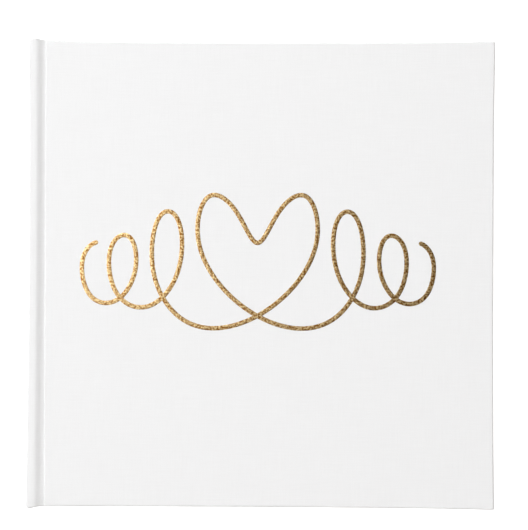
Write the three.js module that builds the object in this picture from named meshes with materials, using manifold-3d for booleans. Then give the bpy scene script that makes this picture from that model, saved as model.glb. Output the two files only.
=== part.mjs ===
// A square case-bound wedding guest book, closed, lying on its back cover.
// Millimetres. +X runs from the spine to the fore edge, +Y to the head, +Z up through the front cover.
// The origin is under the middle of the book, on the surface that it lies on.

import * as THREE from "three";
import { mergeVertices } from "three/addons/utils/BufferGeometryUtils.js";
import Module from "manifold-3d";

const wasm = await Module();
wasm.setup();

// Case: the two boards, the spine strip and the cloth around them
const BOOK_WIDTH = 213.5; // spine's outer face to the fore edge
const BOARD_HEIGHT = 213; // cloth-covered boards, head to tail
const SPINE_HEIGHT = 215.6; // the spine stands a little proud of the boards at both ends
const BOOK_THICKNESS = 19;
const BOARD = 2.5; // greyboard thickness
const CLOTH = 0.4; // book cloth thickness, with its glue
const TURN_IN = 15; // cloth folded over onto the inside of the boards
const BOARD_START = 8; // spine's outer face to the edge of each board
const GLUE = 0.05; // gap between layers that are glued together

// Grooves: the cloth dips steeply beside the spine and rises gently to the board
const GROOVE_HEIGHT = 213.8;
const GROOVE_STEPS = 12;
const GROOVE_BOTTOM = 16.6; // middle of the cloth's thickness, in the front groove

// Endpapers, mull and liner
const PAPER = 0.25;
const MULL = 0.2;
const MULL_HEIGHT = 181;
const MULL_REACH = 33; // spine's outer face to the ends of the mull's flanges on the boards
const MULL_CLEARANCE = 0.25; // between the mull and the folds
const LINER = 0.2;
const LINER_HEIGHT = 190;

// Book block: sewn sections of folded leaves
const SECTIONS = 8;
const LEAF_HEIGHT = 207;
const FORE_EDGE = 210; // spine's outer face to the leaves' fore edge
const FOLD = 4.2; // spine's outer face to the folds of the sections
const BLOCK_LOW = 4.1; // underside of the lowest section
const BLOCK_HIGH = 14.9; // top of the highest section
const SECTION_GAP = 0.06;
const FOLD_RADIUS = 0.55;

// Sewing thread, in a channel along the inside of each fold
const THREAD = 0.5;
const CHANNEL = 0.9;
const STITCH_SPAN = 170;
const STITCH_DEPTH = 1.6; // fold to the middle of the run inside the section

// Head and tail bands
const BAND_RADIUS = 0.6;
const BAND_X = 4.9;
const BAND_SIDES = 12;

// Foil flourish
const FOIL_WIDTH = 2.3;
const FOIL_DEPTH = 0.08;
const FOIL_X = 105.5; // spine's outer face to the middle of the flourish
const FOIL_Y = 6.3; // above the middle of the cover
const FOIL_SCALE = 0.96; // of the control polygon below
const FOIL_STEPS = 4; // straight steps in each stretch of the curve
const FOIL_CAP_SIDES = 16;

// Control polygon of the flourish's right-hand half, from the dip between the heart's lobes outwards.
// The left-hand half is its mirror image.
const FLOURISH = [
  // heart
  [0, 0],
  [-9, 26],
  [-25, 37],
  [-32, 10],
  [-17, -16],
  [9, -33],
  // tall loop
  [36, -33],
  [53, -8],
  [49, 26],
  [36, 24],
  [35, -6],
  // small loop
  [51, -26],
  [70, -19],
  [73, 9],
  [60, 16],
  [56, -4],
  // curled end
  [66, -22],
  [82, -20],
  [86, 2],
  [77, 11],
  [70, 6],
];

// Colours
const BOOK_CLOTH = { color: 0xf2f1ef, roughness: 0.85, metalness: 0 };
const GREYBOARD = { color: 0xa69c8c, roughness: 0.95, metalness: 0 };
const LEAF_PAPER = { color: 0xf6f2e8, roughness: 0.9, metalness: 0 };
const END_PAPER = { color: 0xf8f6f1, roughness: 0.85, metalness: 0 };
const GAUZE = { color: 0xe9e4d6, roughness: 0.95, metalness: 0 };
const KRAFT = { color: 0xb08d63, roughness: 0.9, metalness: 0 };
const SILK = { color: 0xf4efe2, roughness: 0.6, metalness: 0 };
const GOLD_FOIL = { color: 0xc99a45, roughness: 0.3, metalness: 1 };

const book = new THREE.Group();
book.position.x = -BOOK_WIDTH / 2;

function add(name, geometry, look) {
  const mesh = new THREE.Mesh(geometry, new THREE.MeshStandardMaterial(look));
  mesh.name = name;
  book.add(mesh);
}

// A closed geometry as a solid that can be cut and joined
function solid(geometry) {
  const bare = geometry.clone();
  bare.deleteAttribute("normal");
  bare.deleteAttribute("uv");
  const merged = mergeVertices(bare, 1e-4);
  const vertProperties = new Float32Array(merged.attributes.position.array);
  const triVerts = new Uint32Array(merged.index.array);
  return new wasm.Manifold(new wasm.Mesh({ numProp: 3, vertProperties, triVerts }));
}

function geometryOf(manifold) {
  const mesh = manifold.getMesh();
  const geometry = new THREE.BufferGeometry();
  geometry.setAttribute("position", new THREE.BufferAttribute(mesh.vertProperties, 3));
  geometry.setIndex(new THREE.BufferAttribute(mesh.triVerts, 1));
  geometry.computeVertexNormals();
  return geometry;
}

function box(x0, x1, y0, y1, z0, z1) {
  const geometry = new THREE.BoxGeometry(x1 - x0, y1 - y0, z1 - z0);
  return geometry.translate((x0 + x1) / 2, (y0 + y1) / 2, (z0 + z1) / 2);
}

// A box that is centred on the book's middle in Y
function slab(x0, x1, height, z0, z1) {
  return box(x0, x1, -height / 2, height / 2, z0, z1);
}

// An outline in X and Z, drawn out along Y and centred
function alongY(shape, height) {
  const geometry = new THREE.ExtrudeGeometry(shape, { depth: height, bevelEnabled: false, curveSegments: 5 });
  return geometry.rotateX(Math.PI / 2).translate(0, height / 2, 0);
}

// The outline of a strip of even width along a line of points
function strip(points, width) {
  const sides = points.map((point, i) => {
    const before = points[Math.max(i - 1, 0)];
    const after = points[Math.min(i + 1, points.length - 1)];
    const across = after.clone().sub(before).normalize().multiplyScalar(width / 2);
    return [
      new THREE.Vector2(point.x - across.y, point.y + across.x),
      new THREE.Vector2(point.x + across.y, point.y - across.x),
    ];
  });
  return new THREE.Shape([...sides.map((s) => s[1]), ...sides.map((s) => s[0]).reverse()]);
}

// Turns a front-cover height range over, for the same layer on the back cover
function layer(side, z0, z1) {
  return side === "front" ? [z0, z1] : [BOOK_THICKNESS - z1, BOOK_THICKNESS - z0];
}

// ---- Covers: a board, its cloth and its pastedown, the same on both sides

const boardTop = BOOK_THICKNESS - CLOTH;
const boardUnder = boardTop - BOARD;
const turnInUnder = boardUnder - CLOTH;
const pastedownUnder = turnInUnder - GLUE - PAPER;
const mullTop = boardUnder - 2 * GLUE;

function coverCloth(side) {
  const insideHeight = BOARD_HEIGHT - 2 * CLOTH;
  const windowHeight = BOARD_HEIGHT - 2 * TURN_IN;
  const outerLayer = layer(side, turnInUnder, BOOK_THICKNESS);
  const windowLayer = layer(side, turnInUnder - 1, boardUnder + 1);
  const outer = slab(BOARD_START, BOOK_WIDTH, BOARD_HEIGHT, ...outerLayer);
  const pocket = slab(0, BOOK_WIDTH - CLOTH, insideHeight, ...layer(side, boardUnder, boardTop));
  const window = slab(0, BOOK_WIDTH - TURN_IN, windowHeight, ...windowLayer);
  return geometryOf(solid(outer).subtract(solid(pocket)).subtract(solid(window)));
}

function grooveCloth(side) {
  const middle = new THREE.SplineCurve([
    new THREE.Vector2(3.1, boardTop + 0.12),
    new THREE.Vector2(3.6, boardTop - 0.7),
    new THREE.Vector2(4.4, GROOVE_BOTTOM),
    new THREE.Vector2(5.6, GROOVE_BOTTOM + 0.3),
    new THREE.Vector2(BOARD_START - 0.3, boardTop + 0.1),
  ]);
  const outline = strip(middle.getPoints(GROOVE_STEPS), CLOTH);
  const geometry = alongY(outline, GROOVE_HEIGHT);
  if (side === "back") {
    geometry.rotateX(Math.PI).translate(0, 0, BOOK_THICKNESS);
  }
  return geometry;
}

for (const side of ["front", "back"]) {
  const boardEnd = BOOK_WIDTH - CLOTH - GLUE;
  const boardHeight = BOARD_HEIGHT - 2 * (CLOTH + GLUE);
  const boardLayer = layer(side, boardUnder + GLUE, boardTop - GLUE);
  const pastedownLayer = layer(side, pastedownUnder, pastedownUnder + PAPER);
  add(`${side}_board`, slab(BOARD_START + GLUE, boardEnd, boardHeight, ...boardLayer), GREYBOARD);
  add(`${side}_cover_cloth`, coverCloth(side), BOOK_CLOTH);
  add(`${side}_joint_cloth`, grooveCloth(side), BOOK_CLOTH);
  add(`${side}_pastedown`, slab(BOARD_START + GLUE, FORE_EDGE, LEAF_HEIGHT, ...pastedownLayer), END_PAPER);
}

// ---- Spine: the inlay strip, and the cloth wrapped around it with its turn-ins

const inlayInner = CLOTH + BOARD;

function spineCloth() {
  const outer = solid(slab(0, inlayInner + CLOTH, SPINE_HEIGHT, 0, BOOK_THICKNESS));
  const pocket = slab(CLOTH, inlayInner, SPINE_HEIGHT - 2 * CLOTH, CLOTH, BOOK_THICKNESS - CLOTH);
  const window = slab(inlayInner, BOARD_START, SPINE_HEIGHT - 2 * TURN_IN, -1, BOOK_THICKNESS + 1);
  // the turn-ins stop short of the grooves
  const above = slab(inlayInner, BOARD_START, SPINE_HEIGHT + 2, mullTop - 1, BOOK_THICKNESS + 1);
  const below = slab(inlayInner, BOARD_START, SPINE_HEIGHT + 2, -1, BOOK_THICKNESS - mullTop + 1);
  const cuts = [pocket, window, above, below].map(solid);
  return geometryOf(cuts.reduce((left, cut) => left.subtract(cut), outer));
}

const inlayHeight = SPINE_HEIGHT - 2 * (CLOTH + GLUE);
const inlayLayer = [CLOTH + GLUE, BOOK_THICKNESS - CLOTH - GLUE];
add("spine_board", slab(CLOTH + GLUE, inlayInner - GLUE, inlayHeight, ...inlayLayer), GREYBOARD);
add("spine_cloth", spineCloth(), BOOK_CLOTH);

// ---- Book block: sections with their thread, and a flyleaf outside them on each side

const pitch = (BLOCK_HIGH - BLOCK_LOW) / SECTIONS;

// A stitch runs in through the fold, along the inside of the section, and out through the fold again
function stitch(width, z, entry) {
  const half = width / 2;
  const run = FOLD + STITCH_DEPTH;
  const end = STITCH_SPAN / 2;
  const along = box(run - half, run + half, -end - half, end + half, z - half, z + half);
  const legs = [-end, end].map((y) => box(entry, run + half, y - half, y + half, z - half, z + half));
  return legs.reduce((whole, leg) => whole.add(solid(leg)), solid(along));
}

function section(z0, z1) {
  const outline = new THREE.Shape();
  outline.moveTo(FORE_EDGE, -z0);
  outline.lineTo(FORE_EDGE, -z1);
  outline.lineTo(FOLD + FOLD_RADIUS, -z1);
  outline.quadraticCurveTo(FOLD, -z1, FOLD, -z1 + FOLD_RADIUS);
  outline.lineTo(FOLD, -z0 - FOLD_RADIUS);
  outline.quadraticCurveTo(FOLD, -z0, FOLD + FOLD_RADIUS, -z0);
  const leaves = alongY(outline, LEAF_HEIGHT).rotateX(Math.PI);
  const channel = stitch(CHANNEL, (z0 + z1) / 2, FOLD - 1);
  return geometryOf(solid(leaves).subtract(channel));
}

// Section 1 is the first in reading order, so it lies at the top of the closed block
for (let number = 1; number <= SECTIONS; number++) {
  const z1 = BLOCK_HIGH - (number - 1) * pitch - SECTION_GAP / 2;
  const z0 = z1 - pitch + SECTION_GAP;
  add(`section_${number}`, section(z0, z1), LEAF_PAPER);
  add(`section_thread_${number}`, geometryOf(stitch(THREAD, (z0 + z1) / 2, FOLD + 0.1)), SILK);
}

for (const side of ["front", "back"]) {
  const flyleafLayer = layer(side, BLOCK_HIGH + GLUE, BLOCK_HIGH + PAPER);
  add(`${side}_flyleaf`, slab(FOLD + FOLD_RADIUS, FORE_EDGE, LEAF_HEIGHT, ...flyleafLayer), END_PAPER);
}

// ---- Spine lining: mull over the folds and onto both boards, and a kraft liner on it

const mullInner = FOLD - MULL_CLEARANCE;
const mullOuter = mullInner - MULL;

function mull() {
  const under = BOOK_THICKNESS - mullTop;
  const outer = slab(mullOuter, MULL_REACH, MULL_HEIGHT, under, mullTop);
  const hollow = slab(mullInner, MULL_REACH + 1, MULL_HEIGHT + 2, under + MULL, mullTop - MULL);
  return geometryOf(solid(outer).subtract(solid(hollow)));
}

const linerInner = mullOuter - GLUE;
add("mull", mull(), GAUZE);
add("spine_liner", slab(linerInner - LINER, linerInner, LINER_HEIGHT, BLOCK_LOW, BLOCK_HIGH), KRAFT);

for (const [name, end] of [["head_band", 1], ["tail_band", -1]]) {
  const bead = new THREE.CylinderGeometry(BAND_RADIUS, BAND_RADIUS, BLOCK_HIGH - BLOCK_LOW, BAND_SIDES);
  const bandY = end * (LEAF_HEIGHT / 2 + BAND_RADIUS + 0.1);
  bead.rotateX(Math.PI / 2).translate(BAND_X, bandY, (BLOCK_LOW + BLOCK_HIGH) / 2);
  add(name, bead, SILK);
}

// ---- Foil flourish: one line of even width with round ends, stamped on the front cover

// Points on a uniform cubic B-spline over a control polygon
function splinePoints(polygon, steps) {
  const points = [];
  for (let i = 0; i + 3 < polygon.length; i++) {
    for (let step = 0; step < steps; step++) {
      const t = step / steps;
      const weights = [
        (1 - t) ** 3,
        3 * t ** 3 - 6 * t ** 2 + 4,
        -3 * t ** 3 + 3 * t ** 2 + 3 * t + 1,
        t ** 3,
      ];
      const point = new THREE.Vector2();
      weights.forEach((weight, k) => point.addScaledVector(polygon[i + k], weight / 6));
      points.push(point);
    }
  }
  return points;
}

function flourish() {
  const right = FLOURISH.map(([x, y]) => new THREE.Vector2(x, y).multiplyScalar(FOIL_SCALE));
  const left = right.slice(1).reverse().map((p) => new THREE.Vector2(-p.x, p.y));
  const line = splinePoints([...left, ...right], FOIL_STEPS);
  const flat = { depth: FOIL_DEPTH, bevelEnabled: false };
  const pieces = [];
  // Short stretches that overlap by a step, because the whole line crosses itself
  for (let start = 0; start < line.length - 1; start += FOIL_STEPS) {
    const stretch = line.slice(start, start + FOIL_STEPS + 2);
    pieces.push(new THREE.ExtrudeGeometry(strip(stretch, FOIL_WIDTH), flat));
  }
  for (const end of [line[0], line[line.length - 1]]) {
    const cap = new THREE.CylinderGeometry(FOIL_WIDTH / 2, FOIL_WIDTH / 2, FOIL_DEPTH, FOIL_CAP_SIDES);
    pieces.push(cap.rotateX(Math.PI / 2).translate(end.x, end.y, FOIL_DEPTH / 2));
  }
  const joined = pieces.map(solid).reduce((whole, piece) => whole.add(piece));
  return geometryOf(joined).translate(FOIL_X, FOIL_Y, BOOK_THICKNESS);
}

add("foil_ornament", flourish(), GOLD_FOIL);

export default book;
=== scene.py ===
import math
import random

import bmesh
import bpy
import numpy as np
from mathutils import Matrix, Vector
from mathutils.geometry import delaunay_2d_cdt


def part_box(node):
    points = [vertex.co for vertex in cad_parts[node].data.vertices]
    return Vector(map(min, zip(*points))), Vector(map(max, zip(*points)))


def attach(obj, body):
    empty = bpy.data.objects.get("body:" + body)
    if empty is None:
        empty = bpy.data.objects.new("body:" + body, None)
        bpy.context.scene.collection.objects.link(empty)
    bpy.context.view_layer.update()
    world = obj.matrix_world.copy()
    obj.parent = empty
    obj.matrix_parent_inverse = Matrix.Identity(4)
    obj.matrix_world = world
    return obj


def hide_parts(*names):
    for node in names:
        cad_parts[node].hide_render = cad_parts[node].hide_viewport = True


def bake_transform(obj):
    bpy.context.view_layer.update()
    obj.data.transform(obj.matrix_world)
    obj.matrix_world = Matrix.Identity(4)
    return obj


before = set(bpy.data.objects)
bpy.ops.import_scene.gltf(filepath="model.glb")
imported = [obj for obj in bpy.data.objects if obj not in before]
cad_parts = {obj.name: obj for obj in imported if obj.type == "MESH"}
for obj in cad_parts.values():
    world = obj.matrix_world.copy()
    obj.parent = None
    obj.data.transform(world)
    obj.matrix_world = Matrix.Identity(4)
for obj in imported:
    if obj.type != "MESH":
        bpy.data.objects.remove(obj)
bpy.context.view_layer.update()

MM = 0.001
RANDOM = random.Random(7)

# ---- Places, from the frame. The book lies closed on its back cover: +X to the fore edge, +Y to the head.

SPINE_LOW, SPINE_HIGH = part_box("spine_cloth")
FRONT_LOW, FRONT_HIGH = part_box("front_cover_cloth")
INLAY_LOW, INLAY_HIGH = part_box("spine_board")
SPINE = SPINE_LOW.x  # outer face of the spine
TOP = FRONT_HIGH.z  # upper face of the front cover
UNDER = FRONT_LOW.z  # face of the front cover's turn-ins
FORE = FRONT_HIGH.x
BOARD_END = FRONT_HIGH.y  # head of the boards
SPINE_END = SPINE_HIGH.y  # head of the spine
SECTIONS = [f"section_{n}" for n in range(8, 0, -1)]  # from the lowest to the highest
LEAVES = [f"leaves_{n}" for n in range(8, 0, -1)]

# ---- Book cloth

CLOTH = 0.35 * MM
TURN_IN = 15 * MM
EDGE_RADIUS = 0.95 * MM
SEAM = SPINE + 10 * MM  # where the cloth on a board meets the cloth of the groove
FLARE = 0.75 * MM  # how far the corners at the fore edge stand out past the edges
FLARE_REACH = 26 * MM
SPINE_FLARE = {1: 1.2 * MM, -1: 0.4 * MM}  # the same beside the groove, at the head (1) and the tail (-1)
SPINE_TWIST = 0.43 * MM  # how far the spine's front edge leans in at the head, and out at the tail
SPINE_BOW = 0.8 * MM  # how far its ends curve out from that line
SPINE_SHIFT = 0.25 * MM  # how far its middle sits in
THREAD = 0.47 * MM  # from one thread of the cloth to the next

# The groove in section, in millimetres from the spine's outer face and from the table: points of the
# cloth's outer face, each with the point of the turn-in's face behind it.
GROOVE = [
    ((0, 9.5), (3.3, 9.5)),
    ((0, 14), (3.3, 12.5)),
    ((0, 18.2), (3.3, 15.2)),
    ((0.24, 18.77), (3.3, 15.4)),
    ((0.8, 19), (3.35, 15.55)),
    ((3, 19), (3.4, 15.7)),
    ((3.7, 18.9), (3.5, 15.8)),
    ((4.4, 18.63), (3.7, 15.95)),
    ((5.05, 18.26), (4.2, 16.15)),
    ((5.6, 17.9), (5, 16.25)),
    ((6.15, 17.61), (5.8, 16.25)),
    ((6.7, 17.33), (6.6, 16.2)),
    ((7.25, 17.05), (7.25, 16.13)),
    ((7.6, 16.87), (7.6, 16.08)),
    ((7.8, 16.78), (7.8, 16.04)),
    ((7.9, 16.9), (7.87, 16.02)),
    ((7.92, 17.6), (7.92, 15.95)),
    ((7.92, 18.6), (7.97, 15.85)),
    ((7.95, 18.88), (8.07, 15.75)),
    ((8.12, 19), (8.25, 15.7)),
    ((9, 19), (9, 15.7)),
    ((10, 19), (10, 15.7)),
]

# How far the spine's cloth stands past the boards' cloth at the head (1) and the tail (-1), in millimetres,
# against the distance from the spine's face
GROOVE_ENDS = {
    1: [(0, 0.2), (1, 0.55), (2, 1.1), (3, 1.2), (4, 0.95), (6, 0.6), (8, 0.15), (10, 0)],
    -1: [(0, 0.5), (0.5, 0.8), (1.2, 0.9), (2.4, 0.65), (4, 0.4), (6, 0.2), (8, 0.05), (10, 0)],
}

# ---- Foil flourish: the control polygon of its right-hand half, in millimetres

FLOURISH = [
    (0, 0), (-9, 26), (-25, 37), (-32, 10), (-17, -16), (9, -33),  # heart
    (36, -33), (53, -8), (49, 26), (36, 24), (35, -6),  # tall loop
    (51, -26), (70, -19), (73, 9), (60, 16), (56, -4),  # small loop
    (66, -22), (82, -20), (86, 2), (77, 11), (70, 6),  # curled end
]
FOIL_SCALE = 0.96
FOIL_WIDTH = 2.1 * MM
FOIL_FLAT = 0.86  # share of the stroke's half width that is flat


# ---- Meshes


class Skin:
    """Points, faces and flat cloth coordinates gathered for one mesh."""

    def __init__(self):
        self.points, self.flat, self.faces, self.slots = [], [], [], []

    def add(self, points, flat=None):
        """Adds points of shape (..., 3), and gives their numbers back in the same shape."""
        points = np.asarray(points, float)
        start = len(self.points)
        self.points.extend(map(tuple, points.reshape(-1, 3)))
        flat = points[..., :2] if flat is None else np.asarray(flat, float)
        self.flat.extend(map(tuple, flat.reshape(-1, 2)))
        return start + np.arange(len(self.points) - start).reshape(points.shape[:-1])

    def bridge(self, lines, slot=0):
        """Quads between each line of point numbers and the next."""
        for a, b in zip(lines[:-1], lines[1:]):
            for i in range(len(a) - 1):
                self.faces.append((int(a[i]), int(a[i + 1]), int(b[i + 1]), int(b[i])))
                self.slots.append(slot)

    def shell(self, outer, inner, slot=0):
        """A closed solid between two grids of point numbers."""
        self.bridge(outer, slot)
        self.bridge(inner, slot)
        for a, b in [
            (outer[0], inner[0]),
            (outer[-1], inner[-1]),
            (outer[:, 0], inner[:, 0]),
            (outer[:, -1], inner[:, -1]),
        ]:
            self.bridge([a, b], slot)

    def mesh(self, name, facing=None):
        """The mesh, with its faces turned outwards, or with its first face turned to `facing`."""
        mesh = bpy.data.meshes.new(name)
        mesh.from_pydata(self.points, [], self.faces)
        mesh.polygons.foreach_set("material_index", self.slots)
        layer = mesh.uv_layers.new(name="cloth")
        flat = np.array(self.flat)
        corners = np.array([loop.vertex_index for loop in mesh.loops])
        layer.data.foreach_set("uv", flat[corners].ravel())
        bm = bmesh.new()
        bm.from_mesh(mesh)
        bmesh.ops.recalc_face_normals(bm, faces=bm.faces)
        bm.faces.ensure_lookup_table()
        bm.normal_update()
        if facing is not None and bm.faces[0].normal.dot(Vector(facing)) < 0:
            bmesh.ops.reverse_faces(bm, faces=bm.faces)
        bm.to_mesh(mesh)
        bm.free()
        return mesh


def piece(name, mesh, *materials, smooth_to=40):
    """An object in the scene. Edges sharper than `smooth_to` degrees stay sharp."""
    made = bpy.data.objects.new(name, mesh)
    bpy.context.scene.collection.objects.link(made)
    for material in materials:
        mesh.materials.append(material)
    mesh.polygons.foreach_set("use_smooth", [True] * len(mesh.polygons))
    mesh.set_sharp_from_angle(angle=math.radians(smooth_to))
    return made


def thickened(mesh, thickness):
    """A closed mesh that is `thickness` deep behind the faces of an open one."""
    scratch = bpy.data.objects.new("scratch", mesh)
    bpy.context.scene.collection.objects.link(scratch)
    solid = scratch.modifiers.new("thickness", "SOLIDIFY")
    solid.thickness = thickness
    solid.offset = -1
    shape = scratch.evaluated_get(bpy.context.evaluated_depsgraph_get())
    made = bpy.data.meshes.new_from_object(shape)
    made.name = mesh.name
    bpy.data.objects.remove(scratch)
    return made


def drop_loose_points(mesh):
    """Removes the points that no face uses."""
    bm = bmesh.new()
    bm.from_mesh(mesh)
    bmesh.ops.delete(bm, geom=[v for v in bm.verts if not v.link_faces], context="VERTS")
    bm.to_mesh(mesh)
    bm.free()


def turned_over(points):
    """The same points on the back cover: the book's upper and lower halves mirror each other."""
    return np.stack([points[..., 0], points[..., 1], TOP - points[..., 2]], axis=-1)


def through(points, steps):
    """A smooth line through points of any dimension (Catmull-Rom)."""
    points = np.asarray(points, float)
    padded = np.vstack([2 * points[0] - points[1], points, 2 * points[-1] - points[-2]])
    line = []
    for a, b, c, d in zip(padded, padded[1:], padded[2:], padded[3:]):
        for t in np.arange(steps) / steps:
            line.append(
                b
                + 0.5 * t * (c - a)
                + t**2 * (a - 2.5 * b + 2 * c - 0.5 * d)
                + t**3 * (1.5 * (b - c) + 0.5 * (d - a))
            )
    return np.array(line + [points[-1]])


def lengths(points):
    """How far along a line each of its points lies."""
    steps = np.linalg.norm(np.diff(points, axis=0), axis=1)
    return np.concatenate([[0], np.cumsum(steps)])


# ---- Cloth on a board


def corner_flare(x, y):
    """How far the cloth's corners are pushed out. On the spine side they only go towards head and tail."""
    near_end = np.exp((np.abs(y) - BOARD_END) / FLARE_REACH)
    near_fore = np.exp((x - FORE) / FLARE_REACH)
    near_spine = np.exp((SEAM - x) / FLARE_REACH)
    spine_flare = np.where(y > 0, SPINE_FLARE[1], SPINE_FLARE[-1])
    outward = FLARE * near_end * near_fore
    endward = near_end * (FLARE * near_fore + spine_flare * near_spine)
    return x + outward, y + np.sign(y) * endward


def board_lines(start, end, count, rounded_start):
    """Grid lines across a board, with finer ones on the rounding of its edges."""
    rounding = EDGE_RADIUS * (1 - np.sin(np.radians(np.arange(0, 91, 15))))
    fine = np.concatenate([[4 * MM, 2 * MM, 1.2 * MM], rounding])
    inner = fine[0]
    first = start + fine[::-1] if rounded_start else np.array([start])
    middle = np.linspace(first[-1], end - inner, count)
    return np.concatenate([first, middle[1:-1], end - fine])


def rounded_sheet(x, y):
    """A flat sheet at the cover's face whose free edges and corners roll down over a radius."""
    across = np.clip((x - FORE + EDGE_RADIUS) / EDGE_RADIUS, 0, 1)
    along = np.clip((np.abs(y) - BOARD_END + EDGE_RADIUS) / EDGE_RADIUS, 0, 1)
    reach = np.sqrt(np.clip(across**2 + along**2 - (across * along) ** 2, 0, 1))
    px = np.where(across > 0, FORE - EDGE_RADIUS + EDGE_RADIUS * across * np.sqrt(1 - along**2 / 2), x)
    end = BOARD_END - EDGE_RADIUS + EDGE_RADIUS * along * np.sqrt(1 - across**2 / 2)
    py = np.where(along > 0, np.sign(y) * end, y)
    pz = TOP - EDGE_RADIUS + EDGE_RADIUS * np.sqrt(1 - reach**2)
    return px, py, pz


def inset(x, y, depth):
    """The line of a board's edge, moved in by a depth: round at first, then mitred at the corners."""
    width, height = FORE - SEAM, BOARD_END
    px, py, _ = rounded_sheet(x, y)
    cx = np.minimum(px, FORE - EDGE_RADIUS)
    cy = np.clip(py, EDGE_RADIUS - BOARD_END, BOARD_END - EDGE_RADIUS)
    keep = max(1 - depth / EDGE_RADIUS, 0.05)
    round_x, round_y = cx + (px - cx) * keep, cy + (py - cy) * keep
    mitre_x, mitre_y = SEAM + (x - SEAM) * (1 - depth / width), y * (1 - depth / height)
    share = min(depth / (2 * EDGE_RADIUS), 1)
    share = share * share * (3 - 2 * share)
    return round_x * (1 - share) + mitre_x * share, round_y * (1 - share) + mitre_y * share


def board_cloth_skin():
    """Cloth over the front board: its face, its three free edges and the turn-ins under them."""
    skin = Skin()
    xs = board_lines(SEAM, FORE, 28, rounded_start=False)
    ys = board_lines(-BOARD_END, BOARD_END, 32, rounded_start=True)
    x, y = np.meshgrid(xs, ys, indexing="ij")
    face = skin.add(
        np.stack([*flared(*rounded_sheet(x, y))], axis=-1),
        np.stack([x, y], axis=-1),
    )
    skin.bridge(face)
    # the free edges as one line: tail, fore edge, head
    line = np.concatenate([face[:, 0], face[-1, 1:-1], face[::-1, -1]])
    edge = np.array([(skin.flat[i]) for i in line])
    out_x = (edge[:, 0] > FORE - EDGE_RADIUS / 100).astype(float)
    out_y = np.where(np.abs(edge[:, 1]) > BOARD_END - EDGE_RADIUS / 100, np.sign(edge[:, 1]), 0)
    side = [(0, z) for z in np.linspace(TOP - EDGE_RADIUS, UNDER + EDGE_RADIUS, 4)[1:]]
    bends = np.radians(np.arange(18, 91, 18))
    roll = [(EDGE_RADIUS * (1 - math.cos(b)), UNDER + EDGE_RADIUS * (1 - math.sin(b))) for b in bends]
    flap = [(depth, UNDER) for depth in np.linspace(EDGE_RADIUS, TURN_IN, 8)[1:]]
    lines, before, travelled = [line], (0, TOP - EDGE_RADIUS), 0
    for depth, z in side + roll + flap:
        travelled += math.dist(before, (depth, z))
        before = (depth, z)
        px, py = inset(edge[:, 0], edge[:, 1], depth)
        flat = edge + travelled * np.stack([out_x, out_y], axis=-1)
        lines.append(skin.add(np.stack([*flared(px, py, np.full_like(px, z))], axis=-1), flat))
    skin.bridge(lines)
    return skin


def flared(x, y, z):
    return *corner_flare(x, y), z


def board_cloth(side, material):
    skin = board_cloth_skin()
    if side == "back":
        skin.points = [tuple(p) for p in turned_over(np.array(skin.points))]
    mesh = skin.mesh(f"{side}_board_cloth", facing=(0, 0, 1 if side == "front" else -1))
    return piece(f"{side}_board_cloth", thickened(mesh, CLOTH), material)


# ---- Cloth of the spine and its grooves


def groove_end(x, end):
    """Where the cloth ends at the head (1) or tail (-1)."""
    places, amounts = zip(*GROOVE_ENDS[end])
    return BOARD_END + SPINE_FLARE[end] + float(np.interp((x - SPINE) / MM, places, amounts)) * MM


def twisted(points, reach=7.9 * MM):
    """The spine's front edge leans and bows a little, most of all at the tail. Its back half is straight."""
    x, z = points[..., 0] - SPINE, points[..., 2]
    fade = np.clip(1 - x / reach, 0, 1)
    height = np.clip(z / (TOP / 2) - 1, 0, 1)
    y = points[..., 1] / SPINE_END
    lean = (SPINE_SHIFT + SPINE_TWIST * y - SPINE_BOW * y**2) * height * fade
    return points + np.stack([lean, np.zeros_like(lean), np.zeros_like(lean)], axis=-1)


def half_column(face, behind, end):
    """The cloth from the middle of its outer face to one end, round it, and along the turn-in behind."""
    gap = np.linalg.norm(behind - face)
    inward = (behind - face) / gap
    radius = min(0.48 * gap, EDGE_RADIUS)
    edge = groove_end(face[0], end)
    half = [(face, y) for y in np.linspace(0, edge - radius, 18)]
    for turn in np.radians(np.arange(22.5, 91, 22.5)):
        depth = radius * (1 - math.cos(turn))
        half.append((face + inward * depth, edge - radius + radius * math.sin(turn)))
    for turn in np.radians(np.arange(0, 91, 22.5)):
        depth = radius * (1 - math.sin(turn))
        half.append((behind - inward * depth, edge - radius + radius * math.cos(turn)))
    half += [(behind, y) for y in np.linspace(edge - radius, edge - TURN_IN, 5)[1:]]
    return np.array([(point[0], end * y, point[1]) for point, y in half])


def groove_column(face, behind):
    """One line of the cloth from the tail's turn-in, over the outer face, to the head's turn-in."""
    return np.vstack([half_column(face, behind, -1)[:0:-1], half_column(face, behind, 1)])


def groove_cloth(side, material):
    """Cloth from the middle of the spine's outer face, over its edge, through the groove to the board."""
    section = through([(*face, *behind) for face, behind in GROOVE], 4) * MM
    section[:, [0, 2]] += SPINE
    columns = np.array([groove_column(p[:2], p[2:]) for p in section])
    across = lengths(section[:, :2])
    middle = columns.shape[1] // 2
    steps = np.linalg.norm(np.diff(columns, axis=1), axis=2)
    along = np.concatenate([np.zeros((len(columns), 1)), np.cumsum(steps, axis=1)], axis=1)
    along -= along[:, middle : middle + 1]
    flat = np.stack([np.broadcast_to(across[:, None] - across[-1] + SEAM, along.shape), along], axis=-1)
    points = twisted(columns)
    if side == "back":
        points = turned_over(columns)
    skin = Skin()
    skin.bridge(skin.add(points, flat))
    # the first face lies on the spine's turn-in, which looks towards the leaves
    mesh = skin.mesh(f"{side}_groove_cloth", facing=(1, 0, 0))
    return piece(f"{side}_groove_cloth", thickened(mesh, CLOTH), material)


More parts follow.
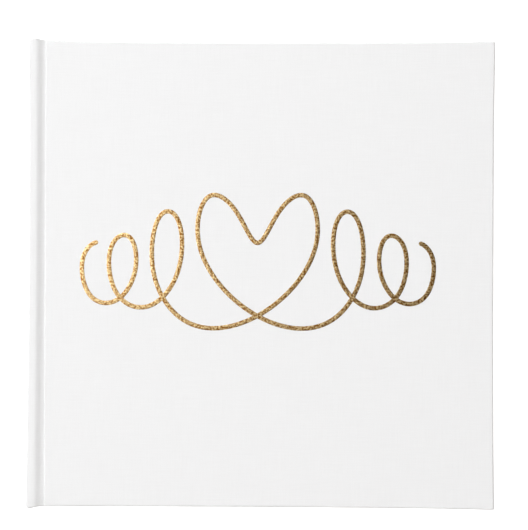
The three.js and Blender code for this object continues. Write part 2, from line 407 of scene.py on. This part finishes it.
def spine_inlay(material):
    """The strip of board in the spine, with its edges eased and the spine's twist."""
    spare = Vector((0, 0.8 * MM, 0.35 * MM))
    low, high = INLAY_LOW + spare, INLAY_HIGH - spare
    ease = 0.6 * MM
    outline = []
    for sx, sz in [(-1, -1), (1, -1), (1, 1), (-1, 1)]:
        cx = (low.x + high.x) / 2 + sx * ((high.x - low.x) / 2 - ease)
        cz = (low.z + high.z) / 2 + sz * ((high.z - low.z) / 2 - ease)
        start = math.atan2(sz, sx) - math.pi / 4
        for turn in np.radians([0, 30, 60, 90]) + start:
            outline.append((cx + ease * math.cos(turn), cz + ease * math.sin(turn)))
    skin = Skin()
    lines = []
    inner = [(y, 0) for y in np.linspace(low.y + ease, high.y - ease, 12)]
    for y, shrink in [(low.y, 1), *inner, (high.y, 1)]:
        centre = np.array([(low.x + high.x) / 2, (low.z + high.z) / 2])
        half = np.array([high.x - low.x, high.z - low.z]) / 2
        ring = centre + (np.array(outline) - centre) * (1 - shrink * ease / half)
        ring = np.vstack([ring, ring[:1]])
        lines.append(skin.add(twisted(np.array([(x, y, z) for x, z in ring]))))
    for line in lines:
        line[-1] = line[0]
    skin.bridge(lines)
    for line in (lines[0], lines[-1]):
        skin.faces.append(tuple(int(i) for i in line[:-1]))
        skin.slots.append(0)
    mesh = skin.mesh("spine_inlay")
    drop_loose_points(mesh)
    return piece("spine_inlay", mesh, material)


# ---- Book block

SHEETS = 4  # folded sheets in a section
LEAF = 0.14 * MM


def folded_sheet(skin, low, high, number):
    """One sheet of a section, folded round the sheets inside it and trimmed a hair unevenly."""
    pitch = (high.z - low.z) / (2 * SHEETS)
    middle = (low.z + high.z) / 2
    radius = (high.z - low.z) / 2 - (number + 0.5) * pitch
    fold = low.x + LEAF / 2 + number * pitch
    fore = high.x - RANDOM.uniform(0, 0.15) * MM
    ends = [low.y + RANDOM.uniform(0, 0.12) * MM, high.y - RANDOM.uniform(0, 0.12) * MM]
    turns = np.radians(np.linspace(-90, 90, 9))
    straight = [(fore, -90), (fold + radius + 60 * MM, -90), (fold + radius + 8 * MM, -90)]
    line = [(x, -radius, turn) for x, turn in straight]
    line += [(fold + radius - radius * math.cos(t), radius * math.sin(t), math.degrees(t)) for t in turns]
    line += [(x, radius, 90) for x, _ in reversed(straight)]
    grids = []
    for shift in (LEAF / 2, -LEAF / 2):
        grid = []
        for x, z, turn in line:
            t = math.radians(turn)
            px, pz = x - shift * math.cos(t), middle + z + shift * math.sin(t)
            grid.append([(px, y, pz) for y in np.linspace(ends[0], ends[1], 5)])
        grids.append(skin.add(np.array(grid)))
    skin.shell(*grids)


def sewing_thread(skin, low, high, span, depth):
    """A stitch along the inside of the fold, in through the fold at one end and out at the other."""
    radius, middle = 0.2 * MM, (low.z + high.z) / 2
    bend = 1.2 * MM
    centre = low.x + depth - bend
    path = [(low.x + 0.1 * MM, -span / 2), (centre, -span / 2)]
    turns = np.radians([30, 60, 90])
    path += [(centre + bend * math.sin(t), -span / 2 + bend * (1 - math.cos(t))) for t in turns]
    path += [(low.x + depth, y) for y in np.linspace(bend - span / 2, 0, 12)[1:]]
    path += [(x, -y) for x, y in reversed(path[:-1])]
    path = np.array(path)
    ahead = np.gradient(path, axis=0)
    ahead /= np.linalg.norm(ahead, axis=1)[:, None]
    lines = []
    for (x, y), (dx, dy) in zip(path, ahead):
        ring = []
        for turn in np.radians(np.arange(0, 360, 45)):
            side = radius * math.cos(turn)
            ring.append((x - dy * side, y + dx * side, middle + radius * math.sin(turn)))
        numbers = list(skin.add(np.array(ring)))
        lines.append(np.array(numbers + numbers[:1]))
    skin.bridge(lines, slot=1)
    for line in (lines[0], lines[-1]):
        skin.faces.append(tuple(int(i) for i in line[:-1]))
        skin.slots.append(1)


def section_piece(name, paper, silk):
    low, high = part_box(name)
    thread_low, thread_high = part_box(name.replace("section", "section_thread"))
    skin = Skin()
    for number in range(SHEETS):
        folded_sheet(skin, low, high, number)
    depth = (thread_high.x - low.x) - 0.25 * MM
    sewing_thread(skin, low, high, thread_high.y - thread_low.y, depth)
    return piece(f"{name}_sheets", skin.mesh(name), paper, silk)


# ---- Lining and bands: they cross from section to section, so each is made in short lengths

SLIT = 0.3 * MM  # the lining stops this far from the gutter, where the book opens


def gutter_height():
    """Where the book opens: between the two middle sections."""
    return (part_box(SECTIONS[3])[1].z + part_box(SECTIONS[4])[0].z) / 2


def lengths_between_sections():
    """Each length's two bodies, and the heights where it starts, stops, and bends from one to the other.
    At the gutter, between the middle sections, there are two lengths, each riding one section, instead of
    one across both."""
    boxes = [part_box(name) for name in SECTIONS]
    middles = [(low.z + high.z) / 2 for low, high in boxes]
    block_low, block_high = boxes[0][0].z, boxes[-1][1].z
    found = []
    for i in range(len(SECTIONS) - 1):
        bottom = block_low if i == 0 else middles[i]
        top = block_high if i == len(SECTIONS) - 2 else middles[i + 1]
        if i == 3:
            gutter = gutter_height()
            found.append((LEAVES[i], LEAVES[i], bottom, gutter, bottom, gutter))
            found.append((LEAVES[i + 1], LEAVES[i + 1], gutter, top, gutter, top))
        else:
            found.append((LEAVES[i], LEAVES[i + 1], bottom, top, middles[i], middles[i + 1]))
    return found


def join(made, below, above):
    """Lets a length ride one body when both its ends are on it; a length between two bodies is only fixed in
    place, with its transform baked into its points.
    """
    if below == above:
        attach(made, below)
        return
    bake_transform(made)


def lining_length(name, bottom, top, gauze, kraft):
    """A strip of mull with the kraft liner glued on it, across the folds of two sections."""
    liner_low, liner_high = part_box("spine_liner")
    mull_low, mull_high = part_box("mull")
    skin = Skin()
    layers = [
        (mull_low.x, mull_low.x + 0.2 * MM, mull_low.y, mull_high.y, 0),
        (liner_low.x, liner_high.x, liner_low.y, liner_high.y, 1),
    ]
    for x0, x1, y0, y1, slot in layers:
        grids = []
        for x in (x0, x1):
            grid = [[(x, y, z) for y in np.linspace(y0, y1, 5)] for z in np.linspace(bottom, top, 9)]
            grids.append(skin.add(np.array(grid), np.array(grid)[..., 1:]))
        skin.shell(*grids, slot)
    return piece(name, skin.mesh(name), gauze, kraft)


def band_length(name, box, bottom, top, silk):
    """A length of the worked silk bead: a round cord with a ridge for each wrap of thread."""
    low, high = box
    centre = (low + high) / 2
    radius = (high.y - low.y) / 2
    wrap = 0.45 * MM
    skin = Skin()
    lines = []
    for height in np.linspace(bottom, top, round((top - bottom) / (wrap / 6)) + 1):
        swell = radius * (0.92 + 0.08 * math.cos((height - centre.z) / wrap * 2 * math.pi + math.pi))
        ring = []
        for turn in np.radians(np.arange(0, 360, 22.5)):
            ring.append((centre.x + swell * math.cos(turn), centre.y + swell * math.sin(turn), height))
        flat = [(height, swell * t) for t in np.arange(16)]
        numbers = list(skin.add(np.array(ring), flat))
        lines.append(np.array(numbers + numbers[:1]))
    skin.bridge(lines)
    for line in (lines[0], lines[-1]):
        skin.faces.append(tuple(int(i) for i in line[:-1]))
        skin.slots.append(0)
    return piece(name, skin.mesh(name), silk, smooth_to=60)


def gutter_strip(paper):
    """The folded strip of paper that joins the middle sections and spans the gutter of the open book."""
    low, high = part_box(SECTIONS[3])
    gutter = gutter_height()
    fold = low.x - 0.2 * MM
    width, half = 4 * MM, 0.038 * MM
    far, middle, near = fold + width, fold + 0.6 * MM, fold + 0.1 * MM
    outer = [(far, -half), (middle, -half), (near, -half), (fold - 0.04 * MM, -half / 2)]
    inner = [(far, -0.95 * half), (middle, -half / 4), (near, -half / 4), (fold, -half / 5)]
    skin = Skin()
    grids = []
    for line in (outer, inner):
        line = line + [(line[-1][0], 0)] + [(x, -z) for x, z in reversed(line)]
        grid = [[(x, y, gutter + z) for y in np.linspace(low.y, high.y, 9)] for x, z in line]
        grids.append(skin.add(np.array(grid)))
    skin.shell(*grids)
    made = piece("gutter_strip", skin.mesh("gutter_strip"), paper)
    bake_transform(made)


# ---- Foil flourish


def spline(polygon, steps):
    """Points on a uniform cubic B-spline."""
    points = []
    for a, b, c, d in zip(polygon, polygon[1:], polygon[2:], polygon[3:]):
        for t in np.arange(steps) / steps:
            weights = [(1 - t) ** 3, 3 * t**3 - 6 * t**2 + 4, -3 * t**3 + 3 * t**2 + 3 * t + 1, t**3]
            points.append(sum(w * p for w, p in zip(weights, (a, b, c, d))) / 6)
    return np.array(points)


def flourish_line():
    """The middle of the foil's stroke, placed on the front cover."""
    low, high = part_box("foil_ornament")
    right = np.array(FLOURISH) * FOIL_SCALE * MM
    left = (right[1:] * [-1, 1])[::-1]
    line = spline(np.vstack([left, right]), 14)
    middle = (line.min(0) + line.max(0)) / 2
    return line - middle + [(low.x + high.x) / 2, (low.y + high.y) / 2]


def stroke_polygons(line, half):
    """Flat polygons that cover the stroke: three quads for each step and a fan at each end."""
    ahead = np.gradient(line, axis=0)
    ahead /= np.linalg.norm(ahead, axis=1)[:, None]
    across = np.stack([-ahead[:, 1], ahead[:, 0]], axis=-1)
    rims = [line + across * half * share for share in (-1, -FOIL_FLAT, FOIL_FLAT, 1)]
    points, faces = list(np.stack(rims, axis=1).reshape(-1, 2)), []
    for i in range(len(line) - 1):
        for k in range(3):
            a = 4 * i + k
            faces.append([a, a + 4, a + 5, a + 1])
    for i, sign in ((0, -1), (len(line) - 1, 1)):
        start = len(points)
        turns = np.radians(np.arange(0, 181, 15))
        for turn in turns:
            side, out = -sign * across[i] * math.cos(turn), sign * ahead[i] * math.sin(turn)
            points.append(line[i] + half * (side + out))
        faces.append(list(range(start, start + len(turns))))
    return points, faces


def distance_to(line, points):
    """How far each point is from a line of short straight steps."""
    start, step = line[:-1], np.diff(line, axis=0)
    offset = points[:, None, :] - start[None]
    share = np.clip((offset * step).sum(-1) / (step**2).sum(-1), 0, 1)
    return np.linalg.norm(offset - share[..., None] * step, axis=-1).min(axis=1)


def foil_piece(material):
    """The stroke as one thin solid, even where it crosses itself, with its rims eased down to the cloth."""
    low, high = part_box("foil_ornament")
    line = flourish_line()
    half = FOIL_WIDTH / 2
    points, faces = stroke_polygons(line, half)
    flat, _, triangles, _, _, owners = delaunay_2d_cdt([Vector(p) for p in points], [], faces, 1, 1e-7)
    kept = [t for t, owner in zip(triangles, owners) if owner]
    flat = np.array([tuple(p) for p in flat])
    depth = high.z - low.z
    rim = np.clip((distance_to(line, flat) / half - FOIL_FLAT) / (1 - FOIL_FLAT), 0, 1)
    upper = low.z + depth * (0.45 - 0.2 * rim**2)
    skin = Skin()
    above = skin.add(np.column_stack([flat, upper]))
    below = skin.add(np.column_stack([flat, np.full(len(flat), low.z - 0.02 * MM)]))
    sides = {}
    for a, b, c in kept:
        for edge in ((a, b), (b, c), (c, a)):
            sides[frozenset(edge)] = sides.get(frozenset(edge), []) + [edge]
    for a, b, c in kept:
        skin.faces.append((int(above[a]), int(above[b]), int(above[c])))
        skin.faces.append((int(below[c]), int(below[b]), int(below[a])))
    for edges in sides.values():
        if len(edges) == 1:
            a, b = edges[0]
            skin.faces.append((int(above[a]), int(below[a]), int(below[b]), int(above[b])))
    skin.slots = [0] * len(skin.faces)
    mesh = skin.mesh("foil_flourish")
    drop_loose_points(mesh)
    return piece("foil_flourish", mesh, material, smooth_to=50)


# ---- Material nodes


def node(tree, kind, inputs=None, out=0, **settings):
    """Adds a node, sets or links its inputs, and gives back one of its outputs."""
    made = tree.nodes.new("ShaderNode" + kind)
    for name, value in settings.items():
        setattr(made, name, value)
    for key, value in (inputs or {}).items():
        if isinstance(value, bpy.types.NodeSocket):
            tree.links.new(value, made.inputs[key])
        else:
            made.inputs[key].default_value = value
    return made.outputs[out]


def sums(tree, operation, *values):
    return node(tree, "Math", dict(enumerate(values)), operation=operation)


def scaled(tree, vector, *factors):
    return node(tree, "VectorMath", {0: vector, 1: factors}, operation="MULTIPLY")


def noise(tree, vector, scale, detail=2.0, out=0):
    inputs = {"Vector": vector, "Scale": scale, "Detail": detail}
    return node(tree, "TexNoise", inputs, out=out)


def between(tree, value, low, high, start=0.0, stop=1.0):
    """Maps a value from the range start-stop to low-high."""
    inputs = {"Value": value, "From Min": start, "From Max": stop, "To Min": low, "To Max": high}
    return node(tree, "MapRange", inputs)


def blend_colours(tree, factor, first, second):
    inputs = {0: factor, 6: first, 7: second}
    return node(tree, "Mix", inputs, out=2, data_type="RGBA")


def finish(name, metallic=0.0, **sockets):
    """A material with a plain shader, its node tree and the shader."""
    material = bpy.data.materials.new(name)
    material.use_nodes = True
    tree = material.node_tree
    shader = tree.nodes["Principled BSDF"]
    shader.inputs["Metallic"].default_value = metallic
    for key, value in sockets.items():
        shader.inputs[key.replace("_", " ")].default_value = value
    return material, tree, shader


def weave(tree, wander=0.35):
    """A plain weave on the cloth's flat coordinates: its relief, up to 1, and the tone of its threads."""
    flat = node(tree, "UVMap", uv_map="cloth")
    threads = scaled(tree, flat, 1 / THREAD, 1 / THREAD, 0)
    drift = node(
        tree,
        "VectorMath",
        {0: noise(tree, threads, 0.09, 3.0, out=1), 1: (0.5, 0.5, 0.5)},
        operation="SUBTRACT",
    )
    drift = scaled(tree, drift, 4 * wander, 4 * wander, 0)
    threads = node(tree, "VectorMath", {0: threads, 1: drift}, operation="ADD")
    split = tree.nodes.new("ShaderNodeSeparateXYZ")
    tree.links.new(threads, split.inputs[0])
    u, v = split.outputs[0], split.outputs[1]
    across = sums(tree, "SINE", sums(tree, "MULTIPLY", u, math.pi))
    along = sums(tree, "SINE", sums(tree, "MULTIPLY", v, math.pi))
    over = between(tree, sums(tree, "MULTIPLY", across, along), 0.15, 1, -1, 1)
    under = sums(tree, "SUBTRACT", 1.15, over)
    warp = sums(tree, "MULTIPLY", sums(tree, "ABSOLUTE", across), over)
    weft = sums(tree, "MULTIPLY", sums(tree, "ABSOLUTE", along), under)
    height = sums(tree, "MAXIMUM", warp, weft)
    slub_warp = noise(tree, scaled(tree, threads, 0.9, 0.035, 0), 1.0, 2.0)
    slub_weft = noise(tree, scaled(tree, threads, 0.035, 0.9, 0), 1.0, 2.0)
    tone = sums(tree, "ADD", slub_warp, slub_weft)
    return height, tone


def book_cloth():
    """White cotton book cloth: a fine plain weave with uneven threads and hardly any gloss, with painted
    shade in the gaps between its threads.
    """
    settings = {"Roughness": 0.85, "Specular_IOR_Level": 0.25, "Sheen_Weight": 0.04}
    material, tree, shader = finish("white_book_cloth", **settings)
    height, tone = weave(tree)
    relief = sums(tree, "ADD", height, sums(tree, "MULTIPLY", tone, 0.5))
    light = between(tree, tone, 0.0, 1.0, 0.7, 1.3)
    colour = blend_colours(tree, light, (0.835, 0.832, 0.827, 1), (0.857, 0.855, 0.85, 1))
    # painted shade: the colour is up to 7 % darker where the weave's relief is low, in the gaps between the
    # threads
    gap_painted_shade = between(tree, height, 0.93, 1.0, 0.1, 0.6)
    colour_with_gap_shade = node(tree, "VectorMath", {0: colour, 3: gap_painted_shade}, operation="SCALE")
    tree.links.new(colour_with_gap_shade, shader.inputs["Base Color"])
    tree.links.new(between(tree, height, 0.9, 0.74), shader.inputs["Roughness"])
    bump = node(tree, "Bump", {"Height": relief, "Distance": 0.045 * MM, "Strength": 0.8})
    tree.links.new(bump, shader.inputs["Normal"])
    return material


def gold_foil():
    """Hot-stamped gold foil: it takes the weave of the cloth under it, so that it sparkles. Its colour has
    painted glints: it swings between dark brown and gold in patches about a millimetre across.
    """
    material, tree, shader = finish("gold_foil", metallic=1.0, Roughness=0.25)
    height, tone = weave(tree)
    flat = node(tree, "UVMap", uv_map="cloth")
    relief_and_painted_glint_noise = noise(tree, flat, 1 / (0.95 * MM), 1.5)
    pressed = sums(tree, "ADD", sums(tree, "MULTIPLY", height, 0.5), sums(tree, "MULTIPLY", relief_and_painted_glint_noise, 1.6))
    # painted glints: the same noise that raises the foil swings its base colour from dark brown to gold,
    # standing in for bright and dark reflections
    painted_glint_mask = between(tree, relief_and_painted_glint_noise, 0, 1, 0.38, 0.62)
    colour = blend_colours(tree, painted_glint_mask, (0.205, 0.083, 0.012, 1), (0.62, 0.467, 0.236, 1))
    tree.links.new(colour, shader.inputs["Base Color"])
    tree.links.new(between(tree, tone, 0.24, 0.36, 0.7, 1.3), shader.inputs["Roughness"])
    bump = node(tree, "Bump", {"Height": pressed, "Distance": 0.048 * MM, "Strength": 0.95})
    tree.links.new(bump, shader.inputs["Normal"])
    return material


def paper(name, light, dark, fibre, bumped):
    """Uncoated paper: soft clouds and short fibres."""
    material, tree, shader = finish(name, Roughness=0.88)
    place = node(tree, "TexCoord", out=3)
    clouds = noise(tree, place, 1 / (9 * MM), 3.0)
    fibres = noise(tree, scaled(tree, place, 1, 0.35, 1), 1 / fibre, 4.0)
    mixed = sums(tree, "MULTIPLY_ADD", clouds, 0.5, sums(tree, "MULTIPLY", fibres, 0.5))
    colour = blend_colours(tree, between(tree, mixed, 0, 1, 0.35, 0.65), dark, light)
    tree.links.new(colour, shader.inputs["Base Color"])
    if bumped:
        bump = node(tree, "Bump", {"Height": fibres, "Distance": 0.02 * MM, "Strength": 0.5})
        tree.links.new(bump, shader.inputs["Normal"])
    return material


def gauze():
    """Open starched cotton gauze, stiff with glue."""
    material, tree, shader = finish("gauze", Roughness=0.92)
    flat = scaled(tree, node(tree, "UVMap", uv_map="cloth"), math.pi / MM, math.pi / MM, 0)
    split = tree.nodes.new("ShaderNodeSeparateXYZ")
    tree.links.new(flat, split.inputs[0])
    threads = [sums(tree, "ABSOLUTE", sums(tree, "SINE", split.outputs[k])) for k in (0, 1)]
    over = between(tree, sums(tree, "MAXIMUM", *threads), 0, 1, 0.7, 0.95)
    colour = blend_colours(tree, over, (0.55, 0.47, 0.34, 1), (0.83, 0.79, 0.70, 1))
    tree.links.new(colour, shader.inputs["Base Color"])
    return material


def silk(name, stripe):
    """Silk thread, wound so that its colour changes every few wraps."""
    material, tree, shader = finish(name, Roughness=0.5, Sheen_Weight=0.2)
    place = node(tree, "TexCoord", out=3)
    split = tree.nodes.new("ShaderNodeSeparateXYZ")
    tree.links.new(place, split.inputs[0])
    turns = sums(tree, "SINE", sums(tree, "MULTIPLY", split.outputs[2], 2 * math.pi / (1.8 * MM)))
    lustre = noise(tree, scaled(tree, place, 1, 0.2, 1), 1 / (0.25 * MM), 2.0)
    share = sums(tree, "MULTIPLY_ADD", lustre, 0.3, between(tree, turns, 0, 0.7, -0.05, 0.05))
    colour = blend_colours(tree, share, (0.88, 0.86, 0.80, 1), stripe)
    tree.links.new(colour, shader.inputs["Base Color"])
    return material


def greyboard():
    """Recycled greyboard with dark and light flecks."""
    material, tree, shader = finish("greyboard", Roughness=0.93)
    place = node(tree, "TexCoord", out=3)
    flecks = noise(tree, place, 1 / (1.6 * MM), 5.0)
    colour = blend_colours(
        tree, between(tree, flecks, 0, 1, 0.35, 0.65), (0.30, 0.27, 0.23, 1), (0.47, 0.43, 0.37, 1)
    )
    tree.links.new(colour, shader.inputs["Base Color"])
    return material


def kraft():
    """Brown kraft paper with long fibres."""
    material, tree, shader = finish("kraft_paper", Roughness=0.85)
    place = node(tree, "TexCoord", out=3)
    fibres = noise(tree, scaled(tree, place, 1, 0.15, 1), 1 / (0.8 * MM), 4.0)
    colour = blend_colours(
        tree, between(tree, fibres, 0, 1, 0.3, 0.7), (0.36, 0.22, 0.11, 1), (0.50, 0.33, 0.18, 1)
    )
    tree.links.new(colour, shader.inputs["Base Color"])
    return material


# ---- The book


def build_case(cloth, board):
    for side, body in (("front", "front_cover"), ("back", "back_cover")):
        cover = board_cloth(side, cloth)
        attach(cover, body)
        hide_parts(f"{side}_cover_cloth")
    front = groove_cloth("front", cloth)
    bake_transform(front)
    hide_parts("spine_cloth", "front_joint_cloth")
    back = groove_cloth("back", cloth)
    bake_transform(back)
    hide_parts("back_joint_cloth")
    inlay = spine_inlay(board)
    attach(inlay, "spine")
    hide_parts("spine_board")
    for name in ("front_board", "back_board"):
        repaint(name, board)


def repaint(name, material):
    """Gives a CAD node that stays as it is a finished material."""
    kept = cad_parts[name]
    kept.data.materials.clear()
    kept.data.materials.append(material)


def build_block(leaf_paper, end_paper, gauze_cloth, kraft_paper, band_silk, thread_silk):
    for name, body in zip(SECTIONS, LEAVES):
        section = section_piece(name, leaf_paper, thread_silk)
        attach(section, body)
        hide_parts(name, name.replace("section", "section_thread"))
    for name in ("front_flyleaf", "back_flyleaf", "front_pastedown", "back_pastedown"):
        repaint(name, end_paper)
    gutter_strip(leaf_paper)
    gutter = gutter_height()
    for number, (below, above, bottom, top, start, stop) in enumerate(lengths_between_sections(), 1):
        ends = (bottom + SLIT * (bottom == gutter), top - SLIT * (top == gutter))
        lining = lining_length(f"spine_lining_{number}", *ends, gauze_cloth, kraft_paper)
        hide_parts("mull", "spine_liner")
        join(lining, below, above)
        for band in ("head_band", "tail_band"):
            length = band_length(f"{band}_{number}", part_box(band), bottom, top, band_silk)
            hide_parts(band)
            join(length, below, above)


def build_foil(material):
    foil = foil_piece(material)
    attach(foil, "front_cover")
    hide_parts("foil_ornament")


# ---- Studio

# the surrounding light at the horizon and overhead
FILL_LOW = (0.83, 0.83, 0.83, 1)
FILL_HIGH = (0.1, 0.066, 0.04, 1)


def soft_panel(name, place, size, power, colour=(1, 1, 1)):
    """A rectangular soft light aimed at the middle of the cover."""
    light = bpy.data.lights.new(name, "AREA")
    light.shape = "RECTANGLE"
    light.size, light.size_y = size
    light.energy = power
    light.color = colour
    made = bpy.data.objects.new(name, light)
    made.location = place
    made.rotation_euler = (-Vector(place)).to_track_quat("-Z", "Y").to_euler()
    made.visible_camera = False
    bpy.context.scene.collection.objects.link(made)


def build_floor():
    mesh = bpy.data.meshes.new("floor")
    reach = 6.0
    rim = [(-reach, -reach, 0), (reach, -reach, 0), (reach, reach, 0), (-reach, reach, 0)]
    mesh.from_pydata(rim, [], [(0, 1, 2, 3)])
    material, tree, shader = finish("pale_floor", Roughness=0.9, Base_Color=(0.78, 0.78, 0.78, 1))
    shader.inputs["Emission Color"].default_value = (1, 1, 1, 1)
    glow = between(tree, node(tree, "LightPath", out=0), 0, 0.95)
    tree.links.new(glow, shader.inputs["Emission Strength"])
    mesh.materials.append(material)
    floor = bpy.data.objects.new("floor", mesh)
    floor.location.z = -0.05 * MM
    bpy.context.scene.collection.objects.link(floor)


def build_world():
    """White where the camera looks straight at it. Its light is soft: brightest from the spine's side,
    less from the fore edge's, dim and warm from above."""
    world = bpy.data.worlds.new("studio")
    world.use_nodes = True
    bpy.context.scene.world = world
    tree = world.node_tree
    split = tree.nodes.new("ShaderNodeSeparateXYZ")
    tree.links.new(node(tree, "TexCoord", out=0), split.inputs[0])
    side = between(tree, split.outputs[0], 0.98, 0.66, -1, 1)
    fill = blend_colours(tree, split.outputs[2], FILL_LOW, FILL_HIGH)
    fill = node(tree, "VectorMath", {0: fill, 3: side}, operation="SCALE")
    seen = node(tree, "LightPath", out=0)
    colour = blend_colours(tree, seen, fill, (1, 1, 1, 1))
    tree.links.new(colour, tree.nodes["Background"].inputs["Color"])


def build_camera():
    """Straight down from 0.7 m, a hair off square, as the photograph was taken."""
    lens = bpy.data.cameras.new("camera")
    lens.lens = 100.92
    lens.sensor_width = 36
    made = bpy.data.objects.new("camera", lens)
    made.location = (14.9 * MM, 1.78 * MM, 700 * MM)
    made.rotation_euler = [math.radians(a) for a in (0.234, 1.106, 0.185)]
    bpy.context.scene.collection.objects.link(made)
    bpy.context.scene.camera = made


def build_studio():
    build_camera()
    build_floor()
    build_world()
    soft_panel("key", (-1.29, 0.97, 2.02), (2.2, 2.2), 54.5, colour=(0.962, 0.997, 1.037))
    soft_panel("fill", (1.5, -0.5, 1.1), (1.3, 1.3), 4.5)
    soft_panel("overhead", (-1.3, 0.1, 2.5), (1.6, 2.4), 24.5)
    bpy.context.scene.view_settings.view_transform = "Standard"


def corners(box):
    return [list(corner) for corner in box]


build_studio()
build_case(book_cloth(), greyboard())
build_block(
    paper("leaf_paper", (0.90, 0.885, 0.845, 1), (0.86, 0.84, 0.79, 1), 0.5 * MM, False),
    paper("end_paper", (0.92, 0.91, 0.885, 1), (0.88, 0.87, 0.84, 1), 0.6 * MM, True),
    gauze(),
    kraft(),
    silk("band_silk", (0.62, 0.47, 0.22, 1)),
    silk("thread_silk", (0.84, 0.82, 0.76, 1)),
)
build_foil(gold_foil())
